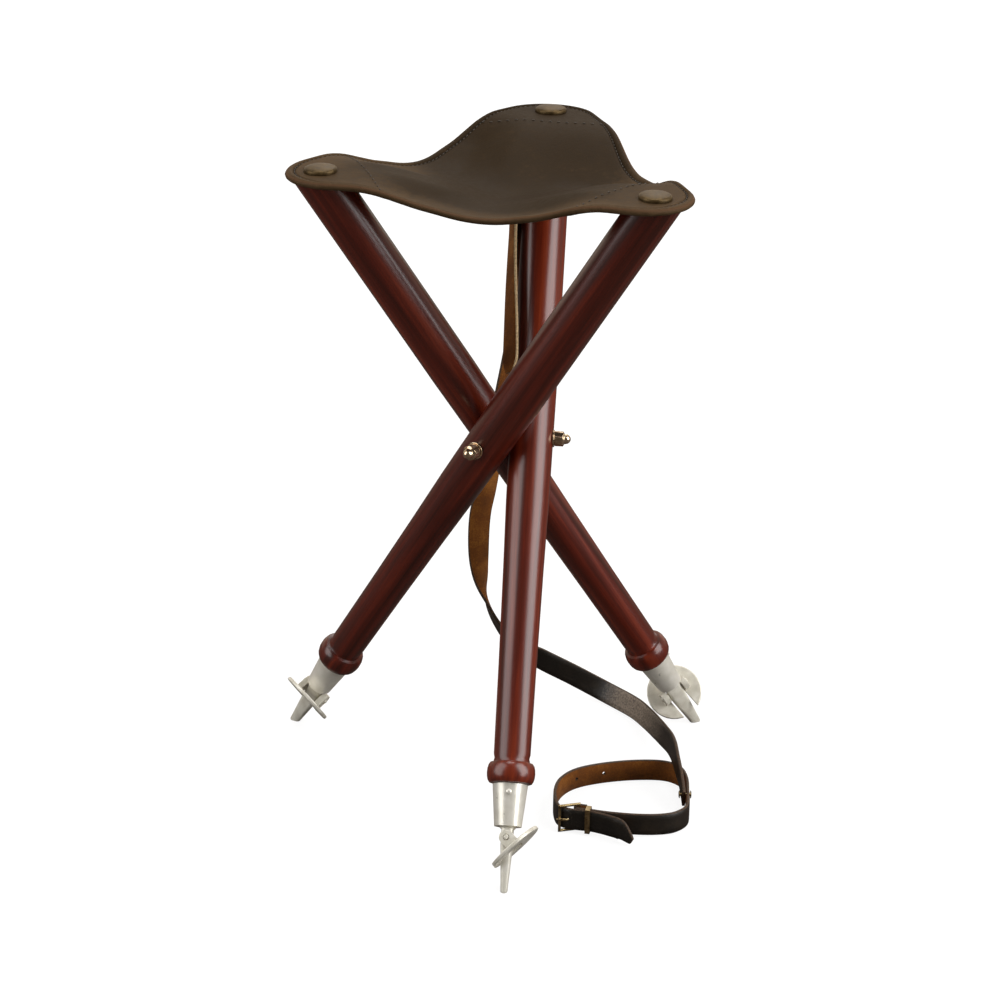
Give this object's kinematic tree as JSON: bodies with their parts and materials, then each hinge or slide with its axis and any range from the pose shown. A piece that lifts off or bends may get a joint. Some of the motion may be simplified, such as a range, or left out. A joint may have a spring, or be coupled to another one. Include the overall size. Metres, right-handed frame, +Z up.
{
  "type": "folding tripod stool",
  "caption": "Folding tripod stool with turned wooden legs crossed on a central bolt, a slung leather seat, spiked feet with flip plates, and a carry strap ending in a buckled belt.",
  "frame": {"origin": "on the floor, under the middle of the box round the open stool without its strap and belt", "axes": "+Z up; +X to the right and +Y away from a viewer at the picture's viewpoint"},
  "size_m": [0.3472, 0.3682, 0.5216],
  "materials": {
    "mahogany": "dark red-brown turned hardwood, polished",
    "satin_metal": "pale satin cast metal",
    "bright_metal": "bright plated, slightly bronzed",
    "bronze": "dark antique bronze, worn satin",
    "seat_leather": "olive-brown saddle leather, satin",
    "strap_leather": "dark grain side, tan flesh side",
    "brass": "dull yellow metal"
  },
  "bodies": {
    "hub": {"hub_bolt": "bright_metal", "seat_leather": "seat_leather", "washer_a": "bright_metal", "acorn_nut_a": "bright_metal", "washer_b": "bright_metal", "acorn_nut_b": "bright_metal", "washer_c": "bright_metal", "acorn_nut_c": "bright_metal"},
    "leg_a": {"leg_a": "mahogany", "ferrule_a": "satin_metal", "ferrule_nail_a": "satin_metal", "spike_a": "satin_metal", "plate_pin_a": "satin_metal", "corner_patch_a": "seat_leather", "seat_stud_a": "bronze"},
    "plate_a": {"flip_plate_a": "satin_metal"},
    "leg_b": {"leg_b": "mahogany", "ferrule_b": "satin_metal", "ferrule_nail_b": "satin_metal", "spike_b": "satin_metal", "plate_pin_b": "satin_metal", "corner_patch_b": "seat_leather", "seat_stud_b": "bronze", "strap_screw": "brass", "carry_strap": "strap_leather", "strap_tab": "strap_leather", "belt": "strap_leather", "buckle_frame": "brass", "buckle_tongue": "brass", "belt_keeper": "brass", "strap_rivet": "brass"},
    "plate_b": {"flip_plate_b": "satin_metal"},
    "leg_c": {"leg_c": "mahogany", "ferrule_c": "satin_metal", "ferrule_nail_c": "satin_metal", "spike_c": "satin_metal", "plate_pin_c": "satin_metal", "corner_patch_c": "seat_leather", "seat_stud_c": "bronze"},
    "plate_c": {"flip_plate_c": "satin_metal"}
  },
  "joints": [
    {"name": "fold_a", "type": "hinge", "parent": "hub", "child": "leg_a", "pos_m": [-0.00864, -0.00238, 0.29353], "axis": [-0.5671, -0.8236, 0], "range_deg": [0, 26], "deforming": ["seat_leather", "carry_strap", "strap_tab", "belt", "corner_patch_a", "corner_patch_b", "corner_patch_c"]},
    {"name": "fold_b", "type": "hinge", "parent": "hub", "child": "leg_b", "pos_m": [0.02483, 0.01355, 0.29353], "axis": [0.9968, -0.0793, 0], "range_deg": [0, 26]},
    {"name": "fold_c", "type": "hinge", "parent": "hub", "child": "leg_c", "pos_m": [-0.0057, 0.03457, 0.29353], "axis": [-0.4297, 0.903, 0], "range_deg": [0, 26]},
    {"name": "plate_flip_a", "type": "hinge", "parent": "leg_a", "child": "plate_a", "pos_m": [-0.1507, 0.09544, 0.03294], "axis": [-0.6868, 0.4729, 0.5519], "range_deg": [-45, 25]},
    {"name": "plate_flip_b", "type": "hinge", "parent": "leg_b", "child": "plate_b", "pos_m": [0.01114, -0.15839, 0.03294], "axis": [-0.0662, -0.8313, 0.5519], "range_deg": [-45, 25]},
    {"name": "plate_flip_c", "type": "hinge", "parent": "leg_c", "child": "plate_c", "pos_m": [0.15004, 0.10869, 0.03294], "axis": [0.753, 0.3583, 0.5519], "range_deg": [-45, 25]}
  ],
  "couplings": [
    {"joint": "fold_b", "follows": "fold_a", "ratio": 1},
    {"joint": "fold_c", "follows": "fold_a", "ratio": 1}
  ]
}
